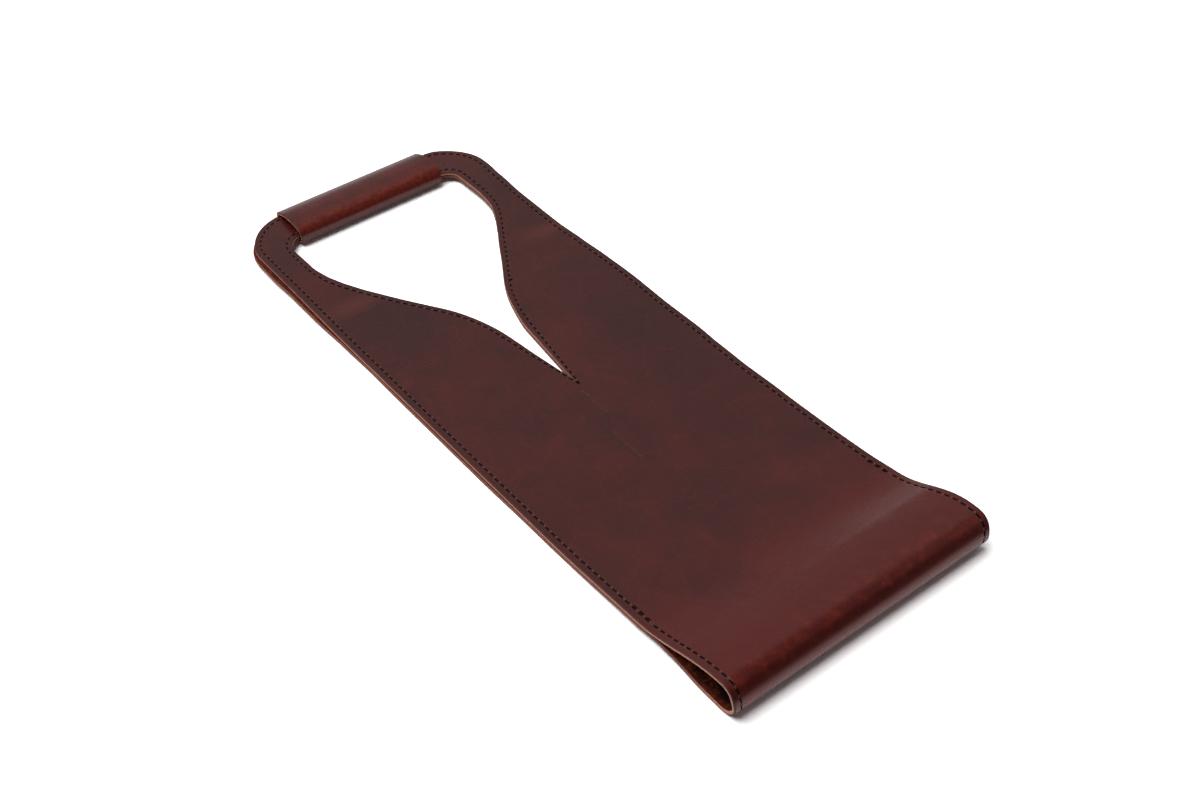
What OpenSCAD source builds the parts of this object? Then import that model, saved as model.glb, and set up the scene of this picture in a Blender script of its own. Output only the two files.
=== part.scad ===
// Leather bottle carrier, lying flat on a table.
// One long strip of leather is folded in half, so its two leaves lie one on the other. Stitching
// joins the leaves along both sides and round the handle end, and stops short of the fold, where
// the leather stands up as an open tube. A window with a long V is cut through both leaves: the
// bottle slides in through it, down between the leaves. The bar that the window leaves at the end
// is the handle, and a loose leather sleeve is wrapped round both of its layers.
// X runs across the strip, Y from the fold to the handle, and Z up from the table.

/* [Strip] */
// Width of the strip
body_w = 150; // [130:1:180]
// Length from the fold to the end of the handle bar
body_l = 430.5; // [400:0.5:480]
// Thickness of the leather of the strip
leather_t = 2; // [1.6:0.1:2.6]
// Space between the two leaves where they lie on each other
leaf_gap = 0.4; // [0.3:0.1:0.8]
// Radius of the outer corners at the handle end
corner_r = 31; // [20:1:45]

/* [Fold] */
// Outer radius of the round at the fold
fold_r = 9.5; // [8:0.5:13]
// Distance from the fold to where the leaves meet
meet_y = 58; // [48:1:75]
// Share of the upper leaf's way down that is crowned and not hollow
crown_share = 0.56; // [0.4:0.01:0.7]
// Length of the belly that lies on the table beyond the round
belly_l = 9; // [6:0.5:20]
// Height of the leaves off the table where they meet
meet_lift = 2.6; // [0:0.1:4]
// Length over which they settle back on the table
settle_l = 70; // [60:5:120]

/* [Window] */
// Width of the window between the two arms
window_w = 113; // [100:1:122]
// Length of the window from the handle bar to the cut point of the V
window_l = 196.2; // [190:0.1:215]
// Width of the handle bar beyond the window
bar_w = 25.3; // [20:0.1:29]
// Length of the straight sides at the point of the V
point_l = 49.4; // [30:0.1:60]
// Lean of the sides at the point of the V
point_lean = 7.2; // [5:0.1:10]
// Lean of the sides where the V flares
flare_lean = 32; // [26:1:40]
// Radius with which the V starts to flare
flare_r = 100; // [70:1:120]
// Radius with which the flare turns into the arms
arm_r = 80; // [60:1:100]
// Radius of the window's corners at the handle bar
window_r = 12; // [8:0.5:13]

/* [Grip sleeve] */
// Length of the sleeve along the handle bar
grip_l = 95; // [80:1:96]
// Thickness of the leather of the sleeve
grip_t = 1.8; // [1.4:0.1:2.2]
// Height of the sleeve at the rounded side that faces the window
grip_h = 11.3; // [10.8:0.1:14]
// Height of the sleeve at the outer side, where its edges meet
grip_edge_h = 9.4; // [9.3:0.1:10.8]
// Radius of the sleeve's upper round on the window side
grip_round_r = 6.2; // [5.8:0.1:7]
// Radius of its lower round on the window side, and of its upper outer round
grip_turn_r = 3.2; // [2.8:0.1:3.6]
// Radius of its lower outer round
grip_hem_r = 2.4; // [2.1:0.1:2.8]
// Space from the handle bar to the sleeve on the window side
grip_window_clear = 1.7; // [1.6:0.1:3]
// Space from the handle bar to the sleeve on the outer side, above it and below it
grip_clear = 0.4; // [0.3:0.1:0.8]
// Space between the sleeve's two long edges
grip_slit = 0.4; // [0.3:0.1:1]
// Height of that slit above the table
grip_slit_z = 4.2; // [3.6:0.1:5]
// Length over which the arms rise from the table to the sleeve
rise_l = 95; // [70:5:110]

/* [Stitching] */
// Distance from one stitch to the next
stitch_pitch = 4.5; // [3.5:0.1:7]
// Length of thread that shows in one stitch
stitch_l = 3.3; // [2:0.1:3.4]
// Diameter of the thread
thread_d = 0.7; // [0.5:0.05:0.9]
// Height of the thread above the leather on the upper side
thread_proud = 0.25; // [0.1:0.05:0.3]
// Depth of the thread in the leather on every other side, where it is pulled in tight
thread_sink = 0.2; // [0.2:0.05:0.3]
// Distance from the outer edge of the leather to the stitching
seam_inset = 3.5; // [3:0.1:8]
// Distance from the edge of the window to the stitching
window_inset = 3; // [2.5:0.1:6]
// Distance past the cut point of the V to the last stitch
point_inset = 7.5; // [5:0.5:14]
// Length of the doubled stitching that locks each end of the side seam
lock_l = 13.5; // [9:0.5:20]
// Distance from the side seam to the doubled row of stitches beside it
lock_step = 0.9; // [0.8:0.05:1.2]
// Space between the end of the side seam and the first stitch of the fold's edge
thread_break = 1.5; // [1:0.1:3]

/* [Hidden] */

// Steps in a round, in a long gentle curve and in a quarter round of the window
round_steps = 24;
curve_steps = 12;
corner_steps = 8;
// Sides of a stitch, where more than twelve makes a true cylinder
thread_fn = 16;
// Length by which a cutting shape runs past what it cuts
overrun = 1;
stack_t = 2 * leather_t + leaf_gap;
sleeve_y = body_l + grip_clear + grip_t;
carrier_mid_y = sleeve_y / 2;
rise_h = grip_t + grip_clear;
bar_y = body_l - bar_w;
window_y = bar_y - window_l;
rise_y = bar_y - window_r - rise_l;

// Gentle curve from 0 to 1 that starts and ends level
function ease(u) = let(v = min(max(u, 0), 1)) v * v * (3 - 2 * v);
function range(steps) = [for (i = [0:steps]) i / steps];
// Points of an arc in the plane, its centre, radius and first and last angle given
function arc(c, r, a0, a1, steps) =
    [for (u = range(steps)) c + r * [cos(a0 + (a1 - a0) * u), sin(a0 + (a1 - a0) * u)]];

// Height of the underside of the lower leaf above the table
function under_z(y) = y < meet_y
    ? meet_lift * ease((y - fold_r - belly_l) / (meet_y - fold_r - belly_l))
    : meet_lift * (1 - ease((y - meet_y) / settle_l)) + rise_h * ease((y - rise_y) / rise_l);
function top_z(y) = under_z(y) + stack_t;

// Side view of the fold: the upper leaf comes down from the crown of the round in two arcs that
// meet in one slope, and its last point lies where the leaves meet.
drop_h = 2 * fold_r - top_z(meet_y);
drop_l = meet_y - fold_r;
drop_r = (drop_l * drop_l + drop_h * drop_h) / (2 * drop_h);
crown_r = crown_share * drop_r;
hollow_r = drop_r - crown_r;
drop_slope = 2 * atan(drop_h / drop_l);
// The upper leaf from where the leaves meet to the crown, inset into its thickness
function drop_path(inset) = concat(
    arc([meet_y, top_z(meet_y) + hollow_r], hollow_r + inset, 270, 270 - drop_slope, curve_steps),
    arc([fold_r, 2 * fold_r - crown_r], crown_r - inset, 90 - drop_slope, 90, curve_steps));
function round_path(inset) = arc([fold_r, fold_r], fold_r - inset, 90, 270, round_steps);
// The lower leaf from the round to the meeting place, its height over the underside given
function belly_path(h) = [for (u = range(curve_steps))
    let(y = fold_r + belly_l + (meet_y - fold_r - belly_l) * u) [y, under_z(y) + h]];
// Both leaves beyond the meeting place, up to the handle end
function leaf_path(h) = concat(
    [for (u = range(curve_steps)) let(y = meet_y + settle_l * u) [y, under_z(y) + h]],
    [for (u = range(curve_steps)) let(y = rise_y + rise_l * u) [y, under_z(y) + h]],
    [[body_l + overrun, rise_h + h]]);
function backwards(path) = [for (i = [len(path) - 1:-1:0]) path[i]];
// The strip seen from its side: out along one face and back along the other
function side_view() = concat(
    backwards(leaf_path(stack_t)), drop_path(0), round_path(0), belly_path(0), leaf_path(0),
    backwards(leaf_path(leather_t)), backwards(belly_path(leather_t)),
    backwards(round_path(leather_t)), backwards(drop_path(leather_t)),
    leaf_path(leather_t + leaf_gap));

// Half of the window's edge, from its cut point to the middle of the handle bar, moved into the
// leather by an inset
flare_start = [point_l * sin(point_lean), window_y + point_l * cos(point_lean)];
flare_turn = flare_r * [cos(point_lean) - cos(flare_lean), sin(flare_lean) - sin(point_lean)];
arm_turn = arm_r * [1 - cos(flare_lean), sin(flare_lean)];
flare_run = (window_w / 2 - flare_start[0] - flare_turn[0] - arm_turn[0]) / sin(flare_lean);
arm_start = flare_start + flare_turn + flare_run * [sin(flare_lean), cos(flare_lean)];
flare_c = flare_start + flare_r * [cos(point_lean), -sin(point_lean)];
arm_c = arm_start - arm_r * [cos(flare_lean), -sin(flare_lean)];
window_c = [window_w / 2 - window_r, bar_y - window_r];
function window_half(inset) = concat(
    arc(flare_c, flare_r - inset, 180 - point_lean, 180 - flare_lean, corner_steps),
    arc(arm_c, arm_r + inset, -flare_lean, 0, corner_steps),
    arc(window_c, window_r + inset, 0, 90, corner_steps));
function mirrored(path) = [for (p = path) [-p[0], p[1]]];
function window_loop(inset, point) =
    concat([[0, window_y - point]], window_half(inset), backwards(mirrored(window_half(inset))));

// Stitches lie one by one along a path of points [x, y, z], each with the way [ny, nz] that its
// face of the leather looks
function upto(path) = [for (i = 0, s = 0; i < len(path);
    s = s + (i + 1 < len(path) ? norm(path[i + 1][0] - path[i][0]) : 0), i = i + 1) s];
function leg_at(lengths, s) = max([for (i = [0:len(lengths) - 2]) lengths[i] <= s ? i : 0]);
module stitch(p, d, n, proud) {
    translate(p + n * (proud - thread_d / 2))
        rotate([0, acos(d[2] / norm(d)), atan2(d[1], d[0])])
            cylinder(h = stitch_l, d = thread_d, center = true, $fn = thread_fn);
}
module stitches(path, proud) {
    lengths = upto(path);
    total = lengths[len(lengths) - 1];
    count = round(total / stitch_pitch);
    for (k = [0:count - 1]) {
        s = (k + 1 / 2) * total / count;
        i = leg_at(lengths, s);
        d = path[i + 1][0] - path[i][0];
        stitch(path[i][0] + d * (s - lengths[i]) / norm(d), d, path[i][1], proud);
    }
}
// A flat path laid on one face of the strip: face 0 is the underside of the lower leaf
function laid(path, h, up) = [for (p = path)
    [[p[0], p[1] - carrier_mid_y, under_z(p[1]) + h], [0, 0, up]]];
// Extra points along straight stretches, so that a laid path follows the rise of the leather
function fine(path, step) = concat([for (i = [0:len(path) - 2])
    let(d = path[i + 1] - path[i], n = max(1, round(norm(d) / step)))
    for (k = [0:n - 1]) path[i] + d * k / n], [path[len(path) - 1]]);
// Half of the side seam's route, from the meeting place to the middle of the handle end
seam_x = body_w / 2 - seam_inset;
function seam_half() = concat([[seam_x, meet_y]],
    arc([body_w / 2 - corner_r, body_l - corner_r], corner_r - seam_inset, 0, 90, corner_steps));
function seam_path() =
    fine(concat(seam_half(), backwards(mirrored(seam_half()))), stitch_pitch);
// The doubled row at one end of the side seam
function lock_path(side) =
    fine([[side * (seam_x - lock_step), meet_y], [side * (seam_x - lock_step), meet_y + lock_l]],
         stitch_pitch);
function window_path() =
    fine(concat(window_loop(window_inset, point_inset), [[0, window_y - point_inset]]),
         stitch_pitch);
// Route of the stitching along one side edge of the fold, on the face at the given inset
function fold_face(inset) = concat(drop_path(inset), round_path(inset), belly_path(inset));
function fold_path(side, inset, out) =
    let(face = fold_face(inset), outside = fold_face(0), inside = fold_face(leather_t))
    [for (i = [0:len(face) - 1])
        let(n = out * (outside[i] - inside[i]) / norm(outside[i] - inside[i]))
        [[side * seam_x, face[i][0] - carrier_mid_y, face[i][1]], [0, n[0], n[1]]]];
// The same route without its first and last stretch, which would run into the side seam
function trimmed(path, cut) = let(s = upto(path), total = s[len(s) - 1])
    [for (i = [0:len(path) - 1]) if (s[i] >= cut && s[i] <= total - cut) path[i]];

module plan() {
    difference() {
        translate([-body_w / 2, -overrun])
            square([body_w, body_l - corner_r + overrun]);
        polygon(window_loop(0, 0));
    }
    difference() {
        union() {
            translate([corner_r - body_w / 2, body_l - corner_r])
                square([body_w - 2 * corner_r, corner_r]);
            for (side = [-1, 1])
                translate([side * (body_w / 2 - corner_r), body_l - corner_r])
                    circle(r = corner_r, $fn = 8 * round_steps);
        }
        polygon(window_loop(0, 0));
    }
}

module leather_strip() {
    color([0.33, 0.18, 0.17])
        translate([0, -carrier_mid_y, 0])
            intersection() {
                translate([-body_w / 2, 0, 0])
                    rotate([90, 0, 90])
                        linear_extrude(height = body_w)
                            polygon(side_view());
                translate([0, 0, -overrun])
                    linear_extrude(height = 2 * fold_r + rise_h + stack_t + 2 * overrun)
                        plan();
            }
}

// Section of the sleeve, seen along the handle bar, as a ring that stops at the slit
grip_in_y = bar_y - grip_window_clear - grip_t;
grip_round_c = [grip_in_y + grip_round_r, grip_h - grip_round_r];
grip_edge_c = [sleeve_y - grip_turn_r, grip_edge_h - grip_turn_r];
grip_span = grip_edge_c - grip_round_c;
grip_lean = asin((grip_round_r - grip_turn_r) / norm(grip_span))
    - atan2(grip_span[1], grip_span[0]);
function sleeve_face(inset) = concat(
    [[sleeve_y - inset, grip_slit_z + grip_slit / 2]],
    arc(grip_edge_c, grip_turn_r - inset, 0, 90 - grip_lean, corner_steps),
    arc(grip_round_c, grip_round_r - inset, 90 - grip_lean, 180, corner_steps),
    arc([grip_in_y + grip_turn_r, grip_turn_r], grip_turn_r - inset, 180, 270, corner_steps),
    arc([sleeve_y - grip_hem_r, grip_hem_r], grip_hem_r - inset, 270, 360, corner_steps),
    [[sleeve_y - inset, grip_slit_z - grip_slit / 2]]);
module grip_sleeve() {
    color([0.42, 0.15, 0.12])
        translate([-grip_l / 2, -carrier_mid_y, 0])
            rotate([90, 0, 90])
                linear_extrude(height = grip_l)
                    polygon(concat(sleeve_face(0), backwards(sleeve_face(grip_t))));
}

thread_colour = [0.17, 0.09, 0.08];
// The upper thread of the side seam, with its doubled ends
module seam_needle_thread() {
    color(thread_colour) {
        stitches(laid(seam_path(), stack_t, 1), thread_proud);
        for (side = [-1, 1])
            stitches(laid(lock_path(side), stack_t, 1), thread_proud);
    }
}
// The lower thread of the side seam, pulled into the underside
module seam_bobbin_thread() {
    color(thread_colour) {
        stitches(laid(seam_path(), 0, -1), -thread_sink);
        for (side = [-1, 1])
            stitches(laid(lock_path(side), 0, -1), -thread_sink);
    }
}
// Each leaf has its own stitching along the window. The front leaf is the upper one.
module front_window_needle_thread() {
    color(thread_colour) stitches(laid(window_path(), stack_t, 1), thread_proud);
}
module front_window_bobbin_thread() {
    color(thread_colour) stitches(laid(window_path(), leather_t + leaf_gap, -1), -thread_sink);
}
module back_window_needle_thread() {
    color(thread_colour) stitches(laid(window_path(), 0, -1), -thread_sink);
}
module back_window_bobbin_thread() {
    color(thread_colour) stitches(laid(window_path(), leather_t, 1), -thread_sink);
}
// Edge stitching round the fold: one thread outside and one inside the tube
module fold_needle_thread(side) {
    color(thread_colour) stitches(trimmed(fold_path(side, 0, 1), thread_break), -thread_sink);
}
module fold_bobbin_thread(side) {
    color(thread_colour) stitches(trimmed(fold_path(side, leather_t, -1), thread_break), -thread_sink);
}
module left_fold_needle_thread() fold_needle_thread(-1);
module left_fold_bobbin_thread() fold_bobbin_thread(-1);
module right_fold_needle_thread() fold_needle_thread(1);
module right_fold_bobbin_thread() fold_bobbin_thread(1);

leather_strip();
grip_sleeve();
seam_needle_thread();
seam_bobbin_thread();
front_window_needle_thread();
front_window_bobbin_thread();
back_window_needle_thread();
back_window_bobbin_thread();
left_fold_needle_thread();
left_fold_bobbin_thread();
right_fold_needle_thread();
right_fold_bobbin_thread();
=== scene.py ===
import math

import bmesh
import bpy
import numpy as np
from mathutils import Matrix, Vector


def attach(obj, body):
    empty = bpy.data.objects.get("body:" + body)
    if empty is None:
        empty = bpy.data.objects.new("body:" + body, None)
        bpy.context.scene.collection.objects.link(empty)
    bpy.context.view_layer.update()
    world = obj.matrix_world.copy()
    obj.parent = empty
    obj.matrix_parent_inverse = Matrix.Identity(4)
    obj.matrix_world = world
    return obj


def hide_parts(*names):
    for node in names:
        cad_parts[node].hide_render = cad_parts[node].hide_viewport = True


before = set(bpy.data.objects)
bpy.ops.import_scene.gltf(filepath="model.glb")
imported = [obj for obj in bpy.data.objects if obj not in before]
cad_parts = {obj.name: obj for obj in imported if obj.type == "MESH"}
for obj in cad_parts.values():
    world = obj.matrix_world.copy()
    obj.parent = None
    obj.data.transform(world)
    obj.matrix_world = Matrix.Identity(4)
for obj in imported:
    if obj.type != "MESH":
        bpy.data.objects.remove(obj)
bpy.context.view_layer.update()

# Camera
# The photograph is taken from the left of the fold and well above the table, with a slight roll.
# Its place and lens come from laying the carrier's outline over the photograph.
camera = bpy.data.objects.new("camera", bpy.data.cameras.new("camera"))
bpy.context.scene.collection.objects.link(camera)
bpy.context.scene.camera = camera
camera.data.sensor_width = 36
camera.data.lens = 44.85
camera.data.clip_start = 0.01
azimuth = math.radians(-36.2)
elevation = math.radians(41.87)
roll = math.radians(2.2)
aim = Vector((0.0005, -0.03005, 0.0043))
distance = 0.743
back = Vector((math.sin(azimuth) * math.cos(elevation),
               -math.cos(azimuth) * math.cos(elevation),
               math.sin(elevation)))
right = (-back).cross(Vector((0, 0, 1))).normalized()
down = (-back).cross(right)
image_x = math.cos(roll) * right + math.sin(roll) * down
image_down = math.cos(roll) * down - math.sin(roll) * right
stand = Matrix((image_x, -image_down, back)).transposed().to_4x4()
stand.translation = aim + back * distance
camera.matrix_world = stand


# Table and light
# The carrier lies on the front of a white table before a lit white sweep, with the dark room
# behind the camera, and a large lamp hangs nearly overhead, a little to the left and back.
def add(tree, kind, inputs=None, **settings):
    """Adds a node, with its settings, and its inputs set to a value or joined to a socket."""
    made = tree.nodes.new("ShaderNode" + kind)
    for name, value in settings.items():
        setattr(made, name, value)
    for name, value in (inputs or {}).items():
        if isinstance(value, bpy.types.NodeSocket):
            tree.links.new(value, made.inputs[name])
        else:
            made.inputs[name].default_value = value
    return made


def count(tree, operation, a, b=0.0, c=0.0):
    """Adds a Math node and gives its result."""
    return add(tree, "Math", {0: a, 1: b, 2: c}, operation=operation).outputs[0]


def ramp(tree, value, stops):
    """Adds a Color Ramp with stops of place and grey level."""
    made = add(tree, "ValToRGB", {0: value})
    band = made.color_ramp
    while len(band.elements) < len(stops):
        band.elements.new(1.0)
    for element, (place, level) in zip(band.elements, stops):
        element.position = place
        element.color = (level, level, level, 1)
    return made.outputs[0]


def mixed(tree, share, a, b):
    """Mixes two colours by a share."""
    return add(tree, "Mix", {0: share, 6: a, 7: b}, data_type="RGBA").outputs[2]


def fade(tree, value, start, end, first=0.0, last=1.0, soft=False):
    """Gives first up to where a value is start, last from where it is end, and fades between."""
    made = add(tree, "MapRange", {"Value": value, "From Min": start, "From Max": end,
                                  "To Min": first, "To Max": last},
               interpolation_type="SMOOTHSTEP" if soft else "LINEAR")
    return made.outputs[0]


def new_object(bm, name):
    """Makes an object of a finished mesh and puts it in the scene."""
    made = bpy.data.objects.new(name, bpy.data.meshes.new(name))
    bm.to_mesh(made.data)
    bm.free()
    bpy.context.scene.collection.objects.link(made)
    return made


bpy.context.scene.view_settings.view_transform = "Standard"
tent = bpy.data.worlds.new("tent")
bpy.context.scene.world = tent
tent.use_nodes = True
tree = tent.node_tree
tree.nodes.clear()
direction = add(tree, "TexCoord").outputs["Generated"]
height = add(tree, "SeparateXYZ", {0: direction}).outputs[2]
# How bright the sweep and the room are, from the table's level up to overhead
sweep = ramp(tree, height, [(0.0, 0.95), (0.08, 0.8), (0.18, 0.2), (0.25, 0.2), (0.46, 0.34),
                            (0.58, 0.26), (0.65, 0.35), (0.72, 0.42), (0.77, 0.3), (0.82, 0.06)])
room = ramp(tree, height, [(0.0, 0.1), (0.15, 0.05), (0.5, 0.03)])
away = add(tree, "VectorMath", {0: direction, 1: (0.59, 0.81, 0)}, operation="DOT_PRODUCT")
away = ramp(tree, count(tree, "MULTIPLY_ADD", away.outputs["Value"], 0.5, 0.5),
            [(0.35, 0.0), (0.65, 1.0)])
glow = mixed(tree, away, room, sweep)
tent_light = add(tree, "Background", {"Color": glow, "Strength": 1.2})
tree.links.new(tent_light.outputs[0], add(tree, "OutputWorld").inputs[0])

lamp = bpy.data.objects.new("lamp", bpy.data.lights.new("lamp", "SUN"))
bpy.context.scene.collection.objects.link(lamp)
lamp.data.energy = 2.6
lamp.data.angle = math.radians(50)
lamp.matrix_world = Vector((-0.3, 0.24, 1.0)).to_track_quat("Z", "Y").to_matrix().to_4x4()

bm = bmesh.new()
bmesh.ops.create_grid(bm, x_segments=1, y_segments=1, size=4)
bmesh.ops.translate(bm, verts=bm.verts[:], vec=(0, 0, -0.0001))
table = new_object(bm, "table")

# The photographed table is burnt out, so the camera sees it whiter than the white that it throws
# on the leather, and its front edge, just before the fold, is dim.
white_seen = 1.75
white_thrown = 0.92
shine = 0.15
dim_y = -0.25
bright_y = -0.218
paint = bpy.data.materials.new("table white")
paint.use_nodes = True
tree = paint.node_tree
tree.nodes.clear()
seen = add(tree, "LightPath")
spot_y = add(tree, "SeparateXYZ", {0: add(tree, "TexCoord").outputs["Object"]}).outputs[1]
lit = fade(tree, spot_y, dim_y, bright_y, 0.08)
mirrored = count(tree, "MAXIMUM", seen.outputs["Is Glossy Ray"], seen.outputs["Is Transmission Ray"])
mirrored = count(tree, "MULTIPLY", count(tree, "MULTIPLY", mirrored, shine), lit)
glow = add(tree, "Emission", {"Color": (1, 1, 1, 1), "Strength": mirrored})
grey = count(tree, "MULTIPLY", lit, white_thrown)
grey = add(tree, "Mix", {0: seen.outputs["Is Camera Ray"], 2: grey, 3: white_seen}).outputs[0]
white = add(tree, "BsdfDiffuse", {"Color": grey})
both = add(tree, "AddShader", {0: white.outputs[0], 1: glow.outputs[0]})
tree.links.new(both.outputs[0], add(tree, "OutputMaterial").inputs[0])
table.data.materials.append(paint)


# Leather strip
# One strip of oiled cowhide, 2 mm thick and 874 mm long. It is cut flat with round corners and a
# window near each end, then folded in half, so that the two leaves lie on each other.
body_w = 0.150
body_l = 0.4305  # when folded, from the fold's front to the handle end
leather_t = 0.002
stack_t = 0.0044  # both leaves, with a little air between them
mid_y = 0.21635  # the carrier's middle, from the fold's front
fold_r = 0.0095
meet_y = 0.058  # where the leaves come together
meet_lift = 0.0026  # how far the lower leaf stands off the table there
belly_l = 0.009  # the part beside the fold that rests on the table
settle_l = 0.070  # the length over which the leaves settle on the table again
rise_y = 0.2982  # where they begin to rise to the handle
rise_l = 0.095
rise_h = 0.0022
spare_l = 0.012  # more of the side view than the strip needs
corner_cut = 0.031  # what the handle end's round corners take off each side
window_low = 0.209  # the point of the window's V
bar_y = 0.4052  # the window's far side, where the handle bar begins


def ease(u):
    """Gentle curve from 0 to 1 that starts and ends level."""
    v = np.clip(u, 0, 1)
    return v * v * (3 - 2 * v)


def under_z(y):
    """Height of the underside of the lower leaf over the table."""
    near = meet_lift * ease((y - fold_r - belly_l) / (meet_y - fold_r - belly_l))
    far = meet_lift * (1 - ease((y - meet_y) / settle_l)) + rise_h * ease((y - rise_y) / rise_l)
    return np.where(y < meet_y, near, far)


def arc(centre, radius, start, end):
    """Points of an arc from one angle to another, in degrees."""
    angles = np.radians(np.linspace(start, end, 60))
    return np.array(centre) + radius * np.c_[np.cos(angles), np.sin(angles)]


def side_view(points, origin):
    """A sheet's outer face seen from its side, as places and turns by the length along it.
    The length is counted from the point nearest to origin."""
    points = points[np.r_[True, np.hypot(*np.diff(points, axis=0).T) > 1e-7]]
    along = np.r_[0, np.cumsum(np.hypot(*np.diff(points, axis=0).T))]
    even = np.arange(0, along[-1], 0.00025)
    y = np.interp(even, along, points[:, 0])
    z = np.interp(even, along, points[:, 1])
    turn = np.unwrap(np.arctan2(np.gradient(z), np.gradient(y)))
    start = even[np.argmin(np.hypot(y - origin[0], z - origin[1]))]
    return {"along": even - start, "y": y, "z": z, "turn": turn}


def bent(view, flat):
    """Lays points (across, along, out) of a flat sheet round a side view."""
    y, z, turn = (np.interp(flat[:, 1], view["along"], view[k]) for k in ("y", "z", "turn"))
    return np.c_[flat[:, 0], y - flat[:, 2] * np.sin(turn), z + flat[:, 2] * np.cos(turn)]


# From the fold's top the upper leaf comes down to the meeting place in two arcs, the crown and
# the hollow.
top_z = float(under_z(meet_y)) + stack_t
drop_h = 2 * fold_r - top_z
drop_l = meet_y - fold_r
drop_r = (drop_l ** 2 + drop_h ** 2) / (2 * drop_h)
crown_r = 0.56 * drop_r
hollow_r = drop_r - crown_r
drop_slope = math.degrees(2 * math.atan(drop_h / drop_l))
lower_y = np.linspace(body_l + spare_l, fold_r + belly_l, 900)
upper_y = np.linspace(meet_y, body_l + spare_l, 900)
strip_view = side_view(np.concatenate([
    np.c_[lower_y, under_z(lower_y)],
    arc((fold_r, fold_r), fold_r, 270, 90),
    arc((fold_r, 2 * fold_r - crown_r), crown_r, 90, 90 - drop_slope),
    arc((meet_y, top_z + hollow_r), hollow_r, 270 - drop_slope, 270),
    np.c_[upper_y, under_z(upper_y) + stack_t]]), (0, fold_r))


def on_leaf(leaf, y):
    """The place along the flat strip of a distance from the fold, on leaf 1 (upper) or -1."""
    past_round = strip_view["along"] * leaf > 0.015
    from_fold, along = strip_view["y"][past_round], strip_view["along"][past_round]
    order = np.argsort(from_fold)
    return float(np.interp(y, from_fold[order], along[order]))


def hump(v, low, high, soft):
    """1 from low to high, easing to 0 over the length soft on both sides."""
    return ease((v - low) / soft + 1) * ease((high - v) / soft + 1)


def waver(v, knots):
    """A gentle curve through knots of place and amount, all in millimetres."""
    places, amounts = np.array(knots).T / 1000
    i = np.clip(np.searchsorted(places, v) - 1, 0, len(places) - 2)
    share = ease((v - places[i]) / (places[i + 1] - places[i]))
    return amounts[i] + (amounts[i + 1] - amounts[i]) * share


def swell(v, knots):
    """An amount that changes evenly from knot to knot (mm), with a soft bend at each."""
    places, amounts = np.array(knots).T / 1000
    return np.mean([np.interp(v + d, places, amounts) for d in np.linspace(-0.004, 0.004, 9)],
                   axis=0)


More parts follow.
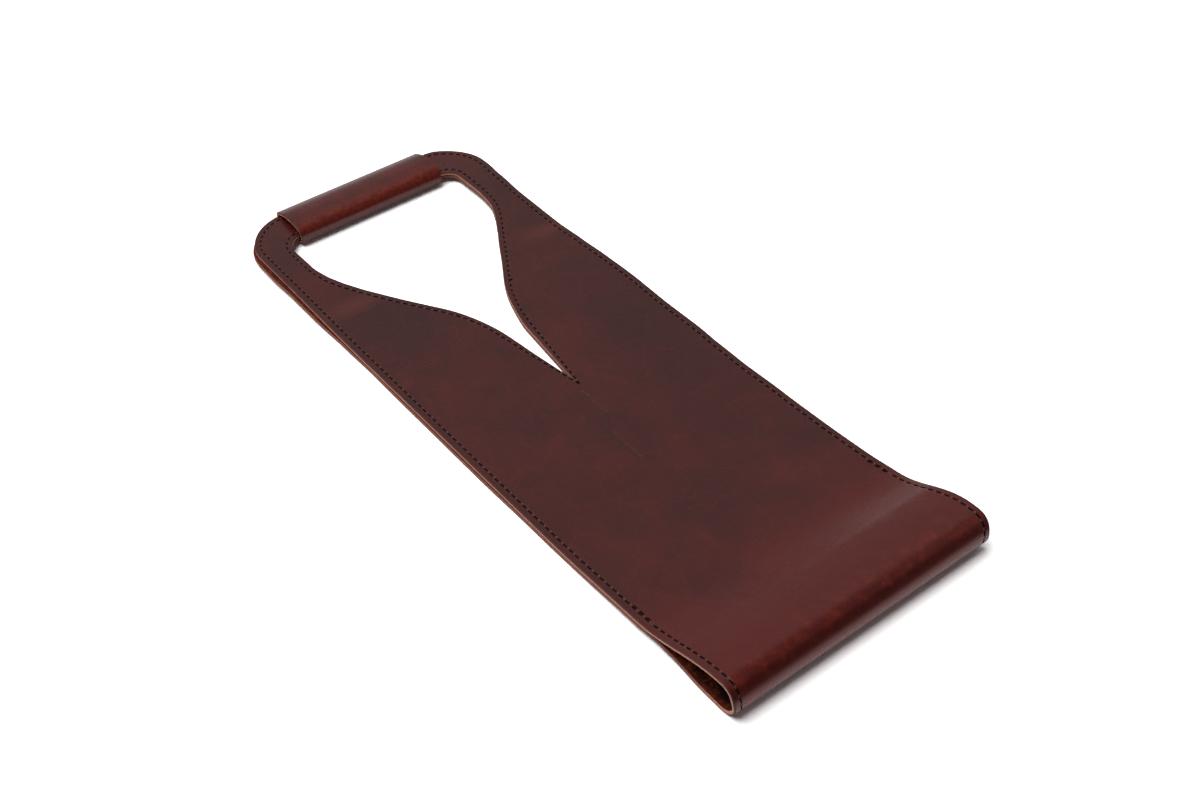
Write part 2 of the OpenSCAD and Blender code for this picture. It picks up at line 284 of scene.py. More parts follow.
def folded(flat):
    """Folds points (across, along, out) of the flat strip, with the small unevenness of use: the
    edges and the window waver, the handle end lies a little askew and the fold stands higher on
    the right."""
    x, along, out = np.array(flat, float).T
    placed = bent(strip_view, np.c_[x, along, out])
    y = placed[:, 1].copy()
    # How far the outer edges stray to the right, by the length along the strip
    left = waver(-along, [(-6, 0), (8, 0.9), (26, 0.95), (44, 1.5), (54, 1.25), (70, 0.15),
                          (105, -0.1), (145, -0.25), (185, -0.75), (262, -0.6), (286, -0.35),
                          (310, -0.75), (346, -1.85), (366, -2.0), (386, -2.75), (400, -2.5),
                          (416, -1.6), (432, -1.0)])
    right = swell(np.abs(along), [(3, 0), (9, 0.6), (15, 0.85), (20, 1.2), (26, 1.1), (31, 0.62),
                                  (38, -0.38), (43, -0.82), (50, -1.0), (55, -0.78), (62, -0.18),
                                  (66, 0.05), (70, -0.1), (78, -0.72), (88, -0.9), (98, -0.95)])
    right += waver(np.abs(along), [(98, 0), (127, 0.53), (148, 0.68), (167, 0.4), (188, 0.95),
                                   (208, 1.95), (228, 2.05), (268, 3.3), (288, 3.05), (308, 2.25),
                                   (330, 1.15), (368, 1.2), (388, 2.45), (404, 3.7), (420, 3.25),
                                   (440, 2.15)])
    # The same for the window's two sides, by the distance from the fold
    window_left = waver(y, [(235, 0), (255, 0.35), (290, 0.95), (315, 0.9), (342, 1.5),
                            (350, 0.8), (360, -0.1), (370, -0.4), (405, -0.4)])
    window_left += (along < 0) * waver(y, [(356, 0), (370, 1.2), (381, 1.7), (391, 1.4),
                                           (402, 0)])
    window_right = waver(y, [(255, 0), (272, 0.35), (290, 0), (310, -0.5), (334, -1.6),
                             (342, -1.5), (351, -0.2), (360, 0.9), (373, 0.4), (392, 0.3),
                             (400, 1.0)])
    window_half = np.interp(y, [0.209, 0.258, 0.300, 0.318, 0.336, 0.350, 0.362, 0.379],
                            [0, 0.0062, 0.0215, 0.032, 0.044, 0.051, 0.055, 0.0565])
    share = np.clip((np.abs(x) - window_half) / (body_w / 2 - window_half), 0, 1)
    placed[:, 0] += np.where(x < 0, left, right) * share
    placed[:, 0] += np.where(x < 0, window_left, window_right) * (1 - share)
    # The handle end lies askew, its bar bows out a little and its right corner reaches further
    askew = 0.0009 * np.clip((0.045 - x) / 0.105, 0, 1.2)
    bar_bow = 0.0009 * np.exp(-((y - bar_y) / 0.006) ** 2)
    right_corner = 0.0021 * ease((x - 0.047) / 0.012) * ease((y - 0.375) / 0.02)
    placed[:, 1] += (bar_bow - askew) * ease((y - 0.36) / 0.05) + right_corner
    # How much higher the fold stands than the plain side view, on the left and on the right
    left_lift = swell(along, [(0, 0), (4, 0.4), (8, 0.75), (12, 0.8), (16, 0.5), (24, 0.27),
                              (32, 0.17), (36, 0.36), (40, 0.77), (44, 1.42), (48, 1.94),
                              (52, 2.14), (56, 2.01), (60, 1.59), (64, 1.01), (68, 0.49),
                              (76, 0.2), (100, 0)])
    right_lift = swell(along, [(0, 0.05), (4, 0.53), (8, 0.82), (12, 0.96), (16, 0.73), (24, 0.91),
                               (32, 1.26), (40, 1.88), (44, 2.27), (48, 2.41), (52, 2.18),
                               (56, 1.64), (60, 1.0), (64, 0.45), (68, 0), (72, -0.17),
                               (80, -0.23), (100, 0)])
    right_share = ease((x + 0.02) / 0.065)
    placed[:, 2] += left_lift * (1 - right_share) + right_lift * right_share
    # The underside of the fold is set back a little
    placed[:, 1] += 0.0007 * hump(along, -0.012, 0.001, 0.01)
    placed[:, 1] -= mid_y
    return placed


def outline(bm, corners, steps):
    """Adds a flat outline from corners (across, along, length rounded off on both sides)."""
    points = [bm.verts.new((x, along, 0)) for x, along, _ in corners]
    bm.faces.new(points)
    for point, (_, _, cut) in zip(points, corners):
        if cut:
            bmesh.ops.bevel(bm, geom=[point], offset=cut, offset_type="OFFSET", profile=0.5,
                            segments=steps if cut > 0.005 else 4, affect="VERTICES", material=-1)


def filled(bm, edges):
    """Fills the space between outlines and gives the new faces."""
    made = bmesh.ops.triangle_fill(bm, use_beauty=True, use_dissolve=False, edges=edges,
                                   normal=(0, 0, 1))
    return [g for g in made["geom"] if isinstance(g, bmesh.types.BMFace)]


def cut_sheet(bm, rings, cuts_along, cuts_across, thickness, round_off):
    """Makes a flat sheet of leather from outlines, with rounded edges. The rings are the widths
    of the rows of faces along its outlines, and the cuts are where rows of points cross it, so
    that it bends smoothly. Material 0 is its grain side, 1 its flesh side and 2 the cut edge."""
    bmesh.ops.delete(bm, geom=bm.faces[:], context="FACES_ONLY")
    inner = filled(bm, bm.edges[:])
    for ring in rings:
        bmesh.ops.inset_region(bm, faces=inner, use_boundary=True, use_even_offset=True,
                               thickness=ring, depth=0)
        inside = set(inner)
        loop = {e for f in inner for e in f.edges if any(g not in inside for g in e.link_faces)}
        bmesh.ops.delete(bm, geom=inner, context="FACES_KEEP_BOUNDARY")
        inner = filled(bm, [e for e in loop if e.is_valid])
    for axis, cuts in ((1, cuts_along), (0, cuts_across)):
        for place in cuts:
            bmesh.ops.bisect_plane(bm, geom=bm.verts[:] + bm.edges[:] + bm.faces[:], dist=0.0003,
                                   plane_co=(place, place, 0), plane_no=(1 - axis, axis, 0))
    bmesh.ops.remove_doubles(bm, verts=bm.verts[:], dist=0.00015)
    bmesh.ops.solidify(bm, geom=bm.faces[:], thickness=thickness)
    bm.normal_update()
    wall = {f for f in bm.faces if abs(f.normal.z) < 0.5}
    for face in bm.faces:
        face.material_index = 2 if face in wall else int(face.normal.z < 0)
        face.smooth = True
    rim = [e for e in bm.edges if sum(f in wall for f in e.link_faces) == 1]
    bmesh.ops.bevel(bm, geom=rim, offset=round_off, offset_type="OFFSET", segments=3,
                    profile=0.5, affect="EDGES", material=2)


def drawn(points, pitch):
    """A line of stitching along points (across, along), in straight stretches: where each one
    is from, its way and length, its count of stitches at the start, and stitches per metre."""
    points = np.array(points, float)
    steps = np.diff(points, axis=0)
    length = np.hypot(*steps.T)
    number = max(1, round(length.sum() / pitch))
    start = np.r_[0, np.cumsum(length)] * number / length.sum()
    return {"from": points[:-1], "way": steps / length[:, None], "start": start[:-1],
            "per": number / length.sum(), "length": length, "number": number}


def finished_sheet(bm, name, lines, place):
    """Makes the flat sheet an object and bends it to shape. Attribute hide keeps each point's
    place on the flat hide. UV map stitches counts stitches along the nearest line of stitching
    in lines, and gives the distance across it in centimetres, more than 0 towards the edge, as
    the line's hand (1 or -1) tells."""
    hide = bm.verts.layers.float_vector.new("hide")
    marks = bm.loops.layers.uv.new("stitches")
    begin, way, start, length = (np.concatenate([line[k] for line in lines])
                                 for k in ("from", "way", "start", "length"))
    stretches = [len(line["start"]) for line in lines]
    per, hand = (np.repeat([line[k] for line in lines], stretches) for k in ("per", "hand"))
    for face in bm.faces:
        centre = np.array(face.calc_center_median())[:2] - begin
        run = (centre * way).sum(1)
        past = np.abs(run - np.clip(run, 0, length))
        away = np.hypot(centre[:, 0] * way[:, 1] - centre[:, 1] * way[:, 0], past)
        k = int(np.argmin(away))
        for loop in face.loops:
            spot = np.array(loop.vert.co)[:2] - begin[k]
            run = spot @ way[k]
            over = (spot[0] * way[k, 1] - spot[1] * way[k, 0]) * hand[k]
            over = math.copysign(math.hypot(over, run - min(max(run, 0), length[k])), over)
            loop[marks].uv = (start[k] + run * per[k], over * 100)
    for vert in bm.verts:
        vert[hide] = vert.co
    flat = np.array([v.co for v in bm.verts])
    for vert, spot in zip(bm.verts, place(flat)):
        vert.co = spot
    return new_object(bm, name)


# The window opens from a point in a narrow V, flares out to its full width between the arms, and
# ends at the handle bar with small round corners.
window_x = 0.0565
window_cut = 0.012
arm_y = 0.35591
half_window = [(0.00895, window_low + 0.07082, 0.022), (window_x, arm_y, 0.0229),
               (window_x, bar_y, window_cut)]
window = [(0, window_low - 0.0024, 0.0027)] + half_window
window += [(-x, y, cut) for x, y, cut in half_window[::-1]]
top_end = on_leaf(1, body_l)
low_end = on_leaf(-1, body_l)
bm = bmesh.new()
outline(bm, [(side * body_w / 2, along, corner_cut) for side, along in
             ((-1, low_end), (1, low_end), (1, top_end), (-1, top_end))], 16)
for leaf in (1, -1):
    outline(bm, [(x, on_leaf(leaf, y), cut) for x, y, cut in window], 9)
across_cuts = np.array([0, 6, 12, 18, 24, 30, 36, 42, 48, 62, 67]) / 1000
leaf_cuts = np.arange(0.082, 0.435, 0.005)
fold_cuts = np.arange(-0.078, 0.079, 0.00125)
cut_sheet(bm, rings=(0.0008, 0.0014, 0.0024), cuts_along=np.r_[-leaf_cuts, fold_cuts, leaf_cuts],
          cuts_across=np.r_[-across_cuts[1:], across_cuts], thickness=leather_t,
          round_off=0.0004)

# The lines of stitching, as lengths along the flat strip. The side seam runs from the meeting
# place up one side, round the handle end and back, with a few stitches sewn double at each end to
# lock it. The fold's sides and each window have lines of their own.
seam_in = 0.0035
seam_x = body_w / 2 - seam_in
lock_x = 0.0706
lock_l = 0.0135
pitch = 0.0045
v_turn = 7.2
v_l = 0.0494
flare_r = 0.1
arm_r = 0.08
arm_l = 0.02294
arm_turn = 32


def inset_arc(centre, radius, start, end):
    """A quarter or part of a round, for a line of stitching, in few steps."""
    return arc(centre, radius, start, end)[::6]


def window_line(inset, tip):
    """The line of stitching round a window, from the point of its V: along the V, through the
    flare and round the arm to the handle bar, and back the same way on the other side."""
    v_way = np.array((np.sin(np.radians(v_turn)), np.cos(np.radians(v_turn))))
    flare_c = (0, window_low) + v_l * v_way + flare_r * v_way[::-1] * (1, -1)
    half = np.concatenate([
        inset_arc(flare_c, flare_r - inset, 180 - v_turn, 180 - arm_turn),
        inset_arc((window_x - arm_r, arm_y + arm_l), arm_r + inset, -arm_turn, 0),
        inset_arc((window_x - window_cut, bar_y - window_cut), window_cut + inset, 0, 90)])
    point = [(0, window_low - tip)]
    return np.concatenate([point, half, half[::-1] * (-1, 1), point])


corner_c = (body_w / 2 - corner_cut, body_l - corner_cut)
half_seam = np.concatenate([[(seam_x, meet_y)],
                            inset_arc(corner_c, corner_cut - seam_in, 0, 90)])
seam_line = np.concatenate([half_seam, half_seam[::-1] * (-1, 1)])
lines = {}
for leaf, side in ((1, "top"), (-1, "under")):
    lines["seam", side] = drawn([(x, on_leaf(leaf, y)) for x, y in seam_line], pitch)
    lines["window", side] = drawn(
        [(x, on_leaf(leaf, y)) for x, y in window_line(inset=0.003, tip=0.0075)], pitch)
    lines["seam", side]["hand"] = leaf
    lines["window", side]["hand"] = -leaf
    for x in (-1, 1):
        lines["lock", side, x] = drawn(
            [(x * lock_x, on_leaf(leaf, y)) for y in (meet_y, meet_y + lock_l)], pitch)
fold_span = (on_leaf(-1, meet_y) + 0.0015, on_leaf(1, meet_y) - 0.0015)
for x, side in ((-1, "left"), (1, "right")):
    lines["fold", side] = drawn([(x * seam_x, s) for s in fold_span], pitch)
    lines["fold", side]["hand"] = x

marked = [line for name, line in lines.items() if name[0] != "lock"]
strip = finished_sheet(bm, "folded_strip", marked, folded)
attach(strip, "strip")
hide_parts("leather_strip")


def new_group(name, inputs, outputs):
    """A shader node group with named number, colour and vector sockets."""
    group = bpy.data.node_groups.new(name, "ShaderNodeTree")
    for socket, kind, value in inputs:
        made = group.interface.new_socket(name=socket, in_out="INPUT", socket_type=kind)
        if value is not None:
            made.default_value = value
    for socket, kind in outputs:
        group.interface.new_socket(name=socket, in_out="OUTPUT", socket_type=kind)
    given = group.nodes.new("NodeGroupInput").outputs
    result = group.nodes.new("NodeGroupOutput").inputs
    return group, given, result


def noise(tree, place, scale, detail=3.0, rough=0.5, warp=0.0):
    """Adds a Noise Texture, its scale in waves per metre, and gives its level."""
    made = add(tree, "TexNoise", {"Vector": place, "Scale": scale, "Detail": detail,
                                  "Roughness": rough, "Distortion": warp})
    return made.outputs[0]


# Clouds where the oil and wax lie thicker or thinner in the hide, with a finer mottle, streaks
# along its fibres, small flecks of wear, and pale veins
hide_look, given, result = new_group(
    "hide look", [("Place", "NodeSocketVector", None), ("Cloud size", "NodeSocketFloat", 0.03)],
    [("Clouds", "NodeSocketFloat"), ("Mottle", "NodeSocketFloat"), ("Streaks", "NodeSocketFloat"),
     ("Flecks", "NodeSocketFloat"), ("Veins", "NodeSocketFloat")])
waves = count(hide_look, "DIVIDE", 1.0, given["Cloud size"])
clouds = noise(hide_look, given["Place"], waves, 4, 0.55, 0.8)
clouds = ramp(hide_look, clouds, [(0.3, 0), (0.72, 1)])
hide_look.links.new(clouds, result["Clouds"])
mottle = noise(hide_look, given["Place"], count(hide_look, "MULTIPLY", waves, 5.0), 5, 0.68, 0.4)
mottle = ramp(hide_look, mottle, [(0.32, 0), (0.7, 1)])
hide_look.links.new(mottle, result["Mottle"])
pulled = add(hide_look, "Mapping", {"Vector": given["Place"], "Rotation": (0, 0, 0.6),
                                    "Scale": (1, 0.14, 1)})
streaks = noise(hide_look, pulled.outputs[0], 420, 4, 0.65)
streaks = ramp(hide_look, streaks, [(0.42, 0), (0.72, 1)])
hide_look.links.new(streaks, result["Streaks"])
flecks = noise(hide_look, given["Place"], 1700, 2, 0.5)
flecks = ramp(hide_look, flecks, [(0.74, 0), (0.8, 1)])
hide_look.links.new(flecks, result["Flecks"])
bent_place = add(hide_look, "TexNoise", {"Vector": given["Place"], "Scale": 60.0, "Detail": 2.0})
bent_place = add(hide_look, "VectorMath", {0: bent_place.outputs["Color"], 1: (0.02, 0.02, 0.02)},
                 operation="MULTIPLY")
bent_place = add(hide_look, "VectorMath", {0: bent_place.outputs[0], 1: given["Place"]},
                 operation="ADD")
veins = add(hide_look, "TexVoronoi", {"Vector": bent_place.outputs[0], "Scale": 38.0},
            feature="DISTANCE_TO_EDGE").outputs["Distance"]
veins = ramp(hide_look, veins, [(0.0, 1), (0.035, 0)])
hide_look.links.new(veins, result["Veins"])

# Fine pores and creases of the grain side, as a height
hide_grain, given, result = new_group(
    "hide grain", [("Place", "NodeSocketVector", None)], [("Height", "NodeSocketFloat")])
pores = add(hide_grain, "TexVoronoi", {"Vector": given["Place"], "Scale": 1500.0}).outputs[0]
pores = ramp(hide_grain, pores, [(0.05, 0), (0.5, 1)])
waves = noise(hide_grain, given["Place"], 420, 4, 0.6)
height = count(hide_grain, "MULTIPLY_ADD", pores, 0.3, count(hide_grain, "MULTIPLY", waves, 0.9))
hide_grain.links.new(height, result["Height"])

# Needle holes, the furrow that the pulled thread presses into the leather between them, and the
# strip of leather between the stitching and the edge. UV map stitches is turned into millimetres
# along and across the line first.
stitch_marks, given, result = new_group(
    "stitch marks", [("Stitches", "NodeSocketVector", None)],
    [("Holes", "NodeSocketFloat"), ("Furrow", "NodeSocketFloat"), ("Edge", "NodeSocketFloat")])
parts = add(stitch_marks, "SeparateXYZ", {0: given["Stitches"]}).outputs
beat = count(stitch_marks, "FRACT", count(stitch_marks, "ADD", parts[0], 0.5))
beat = count(stitch_marks, "MULTIPLY", count(stitch_marks, "SUBTRACT", beat, 0.5), pitch * 1000)
over = count(stitch_marks, "MULTIPLY", parts[1], 10.0)
reach = count(stitch_marks, "POWER", beat, 2.0)
reach = count(stitch_marks, "ADD", reach, count(stitch_marks, "POWER", over, 2.0))
reach = count(stitch_marks, "SQRT", reach)
holes = ramp(stitch_marks, reach, [(0.4, 1), (0.7, 0)])
stitch_marks.links.new(holes, result["Holes"])
side = count(stitch_marks, "ABSOLUTE", over)
stitch_marks.links.new(ramp(stitch_marks, side, [(0.25, 1), (0.95, 0)]), result["Furrow"])
stitch_marks.links.new(fade(stitch_marks, over, 1.2, 3.4), result["Edge"])


def new_leather(name, roughness, bump, spread=0.001):
    """A leather material: its tree, its Principled BSDF and its bump, which takes a height."""
    material = bpy.data.materials.new(name)
    material.use_nodes = True
    tree = material.node_tree
    tree.nodes.clear()
    bump = add(tree, "Bump", {"Strength": bump, "Distance": spread})
    skin = add(tree, "BsdfPrincipled", {"Roughness": roughness, "Normal": bump.outputs[0]})
    tree.links.new(skin.outputs[0], add(tree, "OutputMaterial").inputs[0])
    return material, tree, skin, bump


def soft_oval(tree, place, across, along, half_across, half_along):
    """A soft oval round a place on the flat hide, 1 in its middle."""
    moved = add(tree, "Mapping", {
        "Vector": place, "Scale": (1 / half_across, 1 / half_along, 0),
        "Location": (-across / half_across, -along / half_along, 0)})
    oval = add(tree, "TexGradient", {"Vector": moved.outputs[0]}, gradient_type="SPHERICAL")
    return oval.outputs["Fac"]


def tinted(tree, base, mask, amount, colour):
    """Mixes a colour into the base where a mask is, by as much as the amount."""
    return mixed(tree, count(tree, "MULTIPLY", mask, amount), base, colour)


# Grain side: dark red-brown, oiled and buffed. It is redder where the fold stretches it and darker
# in patches. Painted shade darkens the front of the fold's round and the furrows of the stitching,
# and painted bounce light brightens a band low along the fold's front.
grain_side, tree, skin, bump = new_leather("strip grain side", 0.26, 0.3)
hide = add(tree, "Attribute", attribute_name="hide").outputs["Vector"]
look = add(tree, "Group", {"Place": hide}, node_tree=hide_look).outputs
base = mixed(tree, look["Clouds"], (0.038, 0.0046, 0.0040, 1), (0.078, 0.0066, 0.0042, 1))
base = tinted(tree, base, look["Mottle"], 0.5, (0.058, 0.0054, 0.0039, 1))
base = tinted(tree, base, look["Streaks"], 0.2, (0.105, 0.0115, 0.007, 1))
place = add(tree, "SeparateXYZ", {0: hide}).outputs
# How far it is along the hide from the crown, from the top of the fold's round and from its front
from_crown, from_round, from_front = (
    count(tree, "ABSOLUTE", count(tree, "SUBTRACT", place[1], middle))
    for middle in (0.036, 0.012, -0.001))
stretched = fade(tree, from_crown, 0.020, 0.052, 0.55, 0.0, soft=True)
base = mixed(tree, stretched, base, (0.108, 0.0085, 0.0052, 1))
# Painted shade: from the front of the fold's round downwards, the grain side is painted darker
painted_shade_turned_down = fade(tree, place[1], 0.009, 0.017, 0.35, 0.0, soft=True)
base = mixed(tree, painted_shade_turned_down, base, (0.044, 0.0036, 0.0026, 1))
# Painted bounce light: a bright band low along the fold's front
front = fade(tree, from_front, 0.002, 0.008, 0.85, 0.0, soft=True)
base = mixed(tree, front, base, (0.34, 0.03, 0.018, 1))
rubbed = fade(tree, from_round, 0.003, 0.014, 0.6, 0.0, soft=True)
patch = ramp(tree, noise(tree, hide, 150, 6, 0.7), [(0.48, 0), (0.72, 1)])
base = tinted(tree, base, rubbed, patch, (0.19, 0.021, 0.008, 1))
# Darker patches, then a lighter one on each arm
for across, along, half_across, half_along, depth in (
        (-0.043, 0.312, 0.038, 0.05, 0.75), (0.058, 0.250, 0.034, 0.07, 0.5),
        (0.052, 0.180, 0.045, 0.09, 0.4), (-0.006, 0.110, 0.03, 0.028, 0.45),
        (0.066, 0.355, 0.014, 0.05, 0.5), (-0.035, 0.065, 0.022, 0.018, 0.4)):
    oval = ramp(tree, soft_oval(tree, hide, across, along, half_across, half_along),
                [(0, 0), (0.6, 1)])
    base = tinted(tree, base, oval, depth, (0.034, 0.0042, 0.0040, 1))
for across, along, half_across, half_along in ((-0.055, 0.338, 0.024, 0.010),
                                               (0.066, 0.328, 0.02, 0.009)):
    oval = soft_oval(tree, hide, across, along, half_across, half_along)
    base = tinted(tree, base, oval, 0.7, (0.115, 0.019, 0.0125, 1))
base = tinted(tree, base, look["Veins"], 0.16, (0.12, 0.016, 0.009, 1))
base = tinted(tree, base, look["Flecks"], 0.3, (0.26, 0.13, 0.1, 1))
marks = add(tree, "Group", {"Stitches": add(tree, "UVMap", uv_map="stitches").outputs[0]},
            node_tree=stitch_marks).outputs
base = tinted(tree, base, marks["Edge"], 0.3, (0.034, 0.0056, 0.0046, 1))
# Painted shade in the furrows beside the stitches
base = tinted(tree, base, marks["Furrow"], 0.8, (0.009, 0.001, 0.0008, 1))
base = mixed(tree, marks["Holes"], base, (0.085, 0.022, 0.015, 1))
tree.links.new(base, skin.inputs["Base Color"])
rough = count(tree, "MULTIPLY_ADD", look["Mottle"], 0.08, 0.23)
rough = count(tree, "MULTIPLY_ADD", marks["Holes"], 0.5, rough)
tree.links.new(rough, skin.inputs["Roughness"])
grain = add(tree, "Group", {"Place": hide}, node_tree=hide_grain).outputs[0]
height = count(tree, "MULTIPLY", grain, 0.12)
height = count(tree, "MULTIPLY_ADD", marks["Furrow"], -0.25, height)
height = count(tree, "MULTIPLY_ADD", marks["Holes"], -0.5, height)
tree.links.new(height, bump.inputs["Height"])
strip.data.materials.append(grain_side)

# Flesh side: raw and brown-black, with a loose nap of reddish fibres, and painted lighter towards
# the edges, where light reaches in between the leaves
flesh_side, tree, skin, bump = new_leather("strip flesh side", 0.9, 0.8)
hide = add(tree, "Attribute", attribute_name="hide").outputs["Vector"]
nap = add(tree, "Mapping", {"Vector": hide, "Scale": (1, 0.35, 1)}).outputs[0]
fibres = noise(tree, nap, 1500, 4, 0.7)
clumps = noise(tree, hide, 260, 4, 0.6, 0.5)
share = ramp(tree, count(tree, "MULTIPLY", fibres, clumps), [(0.24, 0), (0.44, 1)])
base = mixed(tree, share, (0.010, 0.002, 0.0015, 1), (0.34, 0.047, 0.013, 1))
over = add(tree, "SeparateXYZ", {0: add(tree, "UVMap", uv_map="stitches").outputs[0]}).outputs[1]
# Painted light: lighter towards the edges, where light reaches in between the leaves
base = mixed(tree, fade(tree, over, -0.1, 0.35, 0.0, 0.5), base, (0.19, 0.033, 0.011, 1))
tree.links.new(base, skin.inputs["Base Color"])
skin.inputs["Specular IOR Level"].default_value = 0.15
tree.links.new(count(tree, "ADD", fibres, clumps), bump.inputs["Height"])
strip.data.materials.append(flesh_side)

# Cut edge: dyed dark just under the grain side, and bare and fibrous below that. It is pale orange
# on the upper leaf, its own colour brightened by a painted highlight, and painted browner, as
# shade, on the lower one
cut_edge, tree, skin, bump = new_leather("strip cut edge", 0.7, 0.6)
hide = add(tree, "Attribute", attribute_name="hide").outputs["Vector"]
place = add(tree, "SeparateXYZ", {0: hide}).outputs
layers = add(tree, "Mapping", {"Vector": hide, "Scale": (1, 1, 3.5)}).outputs[0]
fibres = noise(tree, layers, 900, 4, 0.65)
share = ramp(tree, fibres, [(0.35, 0), (0.65, 1)])
# Bare edge: its own orange colour, brightened by a painted highlight
base = mixed(tree, share, (0.5, 0.18, 0.115, 1), (0.8, 0.38, 0.27, 1))
# Painted shade: the lower leaf's edge is browner
painted_shade_lower_leaf = mixed(tree, share, (0.14, 0.032, 0.014, 1), (0.28, 0.08, 0.04, 1))
base = mixed(tree, fade(tree, place[1], -0.04, 0.0, 0.9, 0.0), base, painted_shade_lower_leaf)
uneven = count(tree, "MULTIPLY_ADD", fibres, 0.0006, place[2])
dyed = fade(tree, uneven, -0.0006, -0.0002)
base = mixed(tree, dyed, base, (0.07, 0.014, 0.009, 1))
tree.links.new(base, skin.inputs["Base Color"])
tree.links.new(fibres, bump.inputs["Height"])
strip.data.materials.append(cut_edge)


# Stitching
# Brown polyester thread in a lockstitch, 4.5 mm to the stitch. The needle thread lies on the
# outside and the bobbin thread on the other side, and every stitch dips into its needle holes.
thread, tree, skin, bump = new_leather("thread", 0.6, 0.5, 0.0002)
skin.inputs["Specular IOR Level"].default_value = 0.0
twist = add(tree, "UVMap", uv_map="twist").outputs[0]
turns = add(tree, "SeparateXYZ", {0: twist}).outputs
lay = count(tree, "ADD", count(tree, "MULTIPLY", turns[0], 5.0), turns[1])
ply = count(tree, "SINE", count(tree, "MULTIPLY", lay, math.tau))
share = fade(tree, ply, -1.0, 0.6)
base = mixed(tree, share, (0.004, 0.001, 0.0008, 1), (0.014, 0.004, 0.003, 1))
# Painted glints: a stitch is painted lighter at its ends, where it goes down into the needle holes
painted_glint_ends = ramp(tree, count(tree, "ABSOLUTE", turns[0]), [(0.3, 0), (0.4, 0.7)])
base = mixed(tree, painted_glint_ends, base, (0.25, 0.09, 0.06, 1))
tree.links.new(base, skin.inputs["Base Color"])
tree.links.new(ply, bump.inputs["Height"])

# A stitch stands proud of the leather where the light and the hand reach it, and is pulled in
# flush elsewhere, as under the fold.
thread_r = 0.00035
proud = 0.00025
sunk = -0.0001
under_fold = -0.006
bm = bmesh.new()
bmesh.ops.create_cone(bm, segments=8, radius1=thread_r, radius2=thread_r, depth=1, cap_ends=True)
bmesh.ops.rotate(bm, verts=bm.verts[:], matrix=Matrix.Rotation(math.pi / 2, 3, "Y"))
for place in (-0.36, -0.2, 0.2, 0.36):
    bmesh.ops.bisect_plane(bm, geom=bm.verts[:] + bm.edges[:] + bm.faces[:], dist=1e-5,
                           plane_co=(place, 0, 0), plane_no=(1, 0, 0))
twist = bm.loops.layers.uv.new("twist")
for face in bm.faces:
    face.smooth = True
    centre = face.calc_center_median()
    middle = math.atan2(centre.z, centre.y)
    for loop in face.loops:
        angle = math.atan2(loop.vert.co.z, loop.vert.co.y) - middle
        angle = (angle + math.pi) % math.tau - math.pi + middle
        loop[twist].uv = (loop.vert.co.x, angle / math.tau)
one_stitch = bpy.data.meshes.new("one stitch")
bm.to_mesh(one_stitch)
bm.free()
stitch_points = np.array([v.co for v in one_stitch.vertices])


def sew(name, node, line_names, face, stand_off):
    """Sews one thread along lines of the flat strip, then folds it with the strip. The face is
    the grain side (1) or the flesh side (-1), and the thread stands off it by proud or sunk."""
    bm = bmesh.new()
    rng = np.random.default_rng(len(name))
    spots = []
    for line in (lines[key] for key in line_names):
        holes = np.arange(line["number"] + 1)
        i = np.searchsorted(line["start"], holes, side="right") - 1
        run = (holes - line["start"][i]) / line["per"]
        places = line["from"][i] + line["way"][i] * run[:, None]
        spots.append(np.c_[places[:-1], places[1:]])
    spots = np.concatenate(spots)
    for _ in spots:
        bm.from_mesh(one_stitch)
    gap = spots[:, 2:] - spots[:, :2]
    length = np.hypot(*gap.T)
    turn = np.arctan2(gap[:, 1], gap[:, 0]) + 0.1 + rng.normal(0, 0.02, len(gap))
    lengthwise, sideways, upwards = stitch_points.T[:, None, :]
    run = lengthwise * (0.9 * length + rng.normal(0, 0.0001, len(gap)))[:, None]
    side = face * np.broadcast_to(sideways, run.shape)
    up = np.where(spots[:, 1] > under_fold, stand_off, sunk)[:, None]
    dip = 0.0008 * np.clip((np.abs(lengthwise) - 0.3) / 0.2, 0, 1) ** 2
    rise = upwards + up - thread_r - dip + rng.normal(0, 0.00003, len(gap))[:, None]
    middle = (spots[:, :2] + spots[:, 2:]) / 2
    x = middle[:, :1] + run * np.cos(turn)[:, None] - side * np.sin(turn)[:, None]
    along = middle[:, 1:] + run * np.sin(turn)[:, None] + side * np.cos(turn)[:, None]
    out = rise if face > 0 else -leather_t - rise
    flat = np.c_[x.ravel(), along.ravel(), out.ravel()]
    for vert, spot in zip(bm.verts, folded(flat)):
        vert.co = spot
    made = new_object(bm, name)
    made.data.materials.append(thread)
    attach(made, "strip")
    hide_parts(node)
    return made


for side, node in (("top", "seam_needle_thread"), ("under", "seam_bobbin_thread")):
    rows = [("seam", side), ("lock", side, -1), ("lock", side, 1)]
    stand_off = proud if side == "top" else sunk
    sew("side_seam_thread_" + side, node, rows, 1, stand_off)
for side, leaf in (("top", "front"), ("under", "back")):
    for face, kind in ((1, "needle"), (-1, "bobbin")):
        stand_off = proud if side == "top" and face > 0 else sunk
        sew(f"{leaf}_window_{kind}_stitches", f"{leaf}_window_{kind}_thread",
                           [("window", side)], face, stand_off)
for side in ("left", "right"):
    for face, kind in ((1, "needle"), (-1, "bobbin")):
        sew(f"{side}_fold_{kind}_stitches", f"{side}_fold_{kind}_thread",
                           [("fold", side)], face, proud)


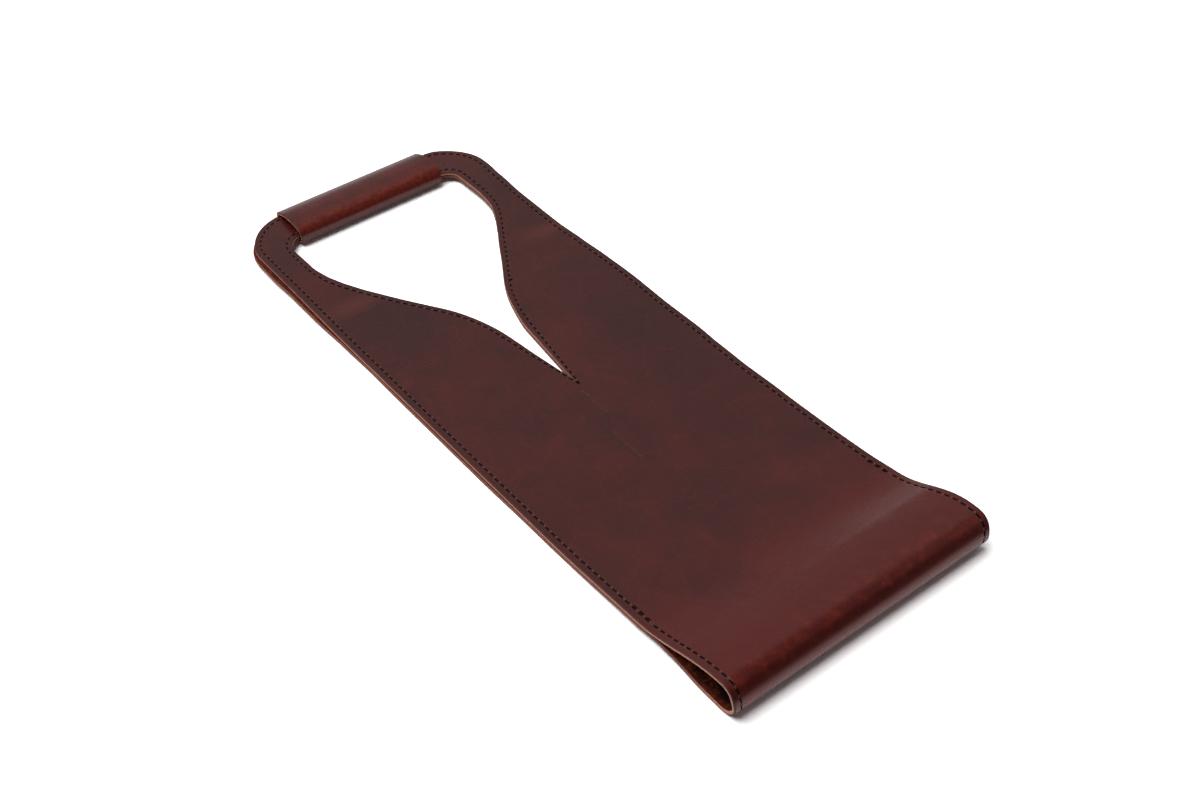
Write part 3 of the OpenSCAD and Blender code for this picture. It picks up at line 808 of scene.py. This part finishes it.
# Grip sleeve
# A piece of the same leather, 95 mm wide and 1.8 mm thick, wrapped loosely round both layers of
# the handle bar. Its long edges meet at the outer side, and it can slide a little on the bar.
grip_l = 0.095
grip_t = 0.0018
sleeve_y = 0.4327  # its outer side, where its long edges meet
joint_z = 0.0040  # the height at which they meet
joint_gap = 0.0004
grip_in_y = bar_y - 0.0017 - grip_t  # its inner side, in the window
foot_r = 0.0024
low_r = 0.0052
low_c = np.array((grip_in_y + 0.0055, low_r))
round_r = 0.0058
round_c = np.array((grip_in_y + 0.0061, 0.0112 - round_r))
edge_r = 0.0045
edge_c = np.array((sleeve_y - edge_r, 0.0098 - edge_r))
crown_arc_r = 0.042
# Its top is one flat arc that touches the round and the edge from outside
span = edge_c - round_c
span_l = np.hypot(*span)
to_foot = ((crown_arc_r - round_r) ** 2 - (crown_arc_r - edge_r) ** 2 + span_l ** 2) / (2 * span_l)
drop = math.sqrt((crown_arc_r - round_r) ** 2 - to_foot ** 2)
crown_c = round_c + (to_foot * span + drop * np.array((span[1], -span[0]))) / span_l
start, end = (math.degrees(math.atan2(*(c - crown_c)[::-1])) for c in (round_c, edge_c))
grip_view = side_view(np.concatenate([
    [(sleeve_y, joint_z)],
    arc((sleeve_y - foot_r, foot_r), foot_r, 360, 270),
    arc(low_c, low_r, 270, 180),
    arc(round_c, round_r, 180, start),
    arc(crown_c, crown_arc_r, start, end),
    arc(edge_c, edge_r, end, 0),
    [(sleeve_y, joint_z + joint_gap)]]), (sleeve_y, joint_z))
girth = grip_view["along"][-1]


def wrapped(flat):
    """Wraps points (across, along, out) of the flat sleeve round the handle bar, a little askew
    and with its right end cut a little aslant."""
    x, along, out = np.array(flat, float).T
    slant = waver(along, [(36, 0), (48, 1.3), (60, 1.17), (72, 0.26)])
    side = x / (grip_l / 2)
    placed = bent(grip_view, np.c_[x + slant * np.clip(side, 0, 1), along, out])
    placed[:, 1] += 0.00045 * (side - 1)
    placed[:, 1] -= mid_y
    return placed


bm = bmesh.new()
outline(bm, [(-grip_l / 2, 0, 0.001), (grip_l / 2, 0, 0.001),
             (grip_l / 2, girth, 0.001), (-grip_l / 2, girth, 0.001)], 4)
cut_sheet(bm, rings=(0.0006,), cuts_along=np.arange(0.001, girth - 0.0005, 0.0009),
          cuts_across=np.arange(-0.043, 0.044, 0.0043), thickness=grip_t, round_off=0.00035)
# The sleeve isn't sewn, so the line of stitching that its UV map counts along lies a metre away
no_stitching = drawn([(-1, -1), (-1, -0.9)], pitch)
no_stitching["hand"] = 1
sleeve = finished_sheet(bm, "sleeve_wrap", [no_stitching], wrapped)
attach(sleeve, "grip")
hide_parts("grip_sleeve")

# Its grain side is redder and more polished than the strip's, and redder still along the upper
# round on its window side. Its underside is dull, and painted dark as shade.
sleeve_grain, tree, skin, bump = new_leather("sleeve grain side", 0.26, 0.25)
hide = add(tree, "Attribute", attribute_name="hide").outputs["Vector"]
look = add(tree, "Group", {"Place": hide, "Cloud size": 0.018}, node_tree=hide_look).outputs
base = mixed(tree, look["Clouds"], (0.052, 0.0054, 0.0042, 1), (0.098, 0.009, 0.0055, 1))
place = add(tree, "SeparateXYZ", {0: hide}).outputs
ridge = count(tree, "ABSOLUTE", count(tree, "SUBTRACT", place[1], 0.0415))
ridge = fade(tree, ridge, 0.002, 0.011, 0.7, 0.0, soft=True)
patch = ramp(tree, look["Mottle"], [(0.1, 0.35), (0.8, 1)])
base = tinted(tree, base, ridge, patch, (0.19, 0.021, 0.009, 1))
base = tinted(tree, base, look["Streaks"], 0.25, (0.15, 0.018, 0.009, 1))
base = tinted(tree, base, look["Flecks"], 0.25, (0.28, 0.15, 0.12, 1))
# Painted shade: the underside and the outer side below where the edges meet are painted dark
under = fade(tree, place[1], 0.028, 0.032, 0.8, 0.0, soft=True)
base = mixed(tree, under, base, (0.014, 0.002, 0.0015, 1))
tree.links.new(base, skin.inputs["Base Color"])
dull = fade(tree, place[1], 0.030, 0.034, 0.55, 0.23, soft=True)
rough = count(tree, "MULTIPLY_ADD", look["Mottle"], 0.08, dull)
tree.links.new(rough, skin.inputs["Roughness"])
grain = add(tree, "Group", {"Place": hide}, node_tree=hide_grain).outputs[0]
tree.links.new(count(tree, "MULTIPLY", grain, 0.12), bump.inputs["Height"])
for material in (sleeve_grain, flesh_side, cut_edge):
    sleeve.data.materials.append(material)
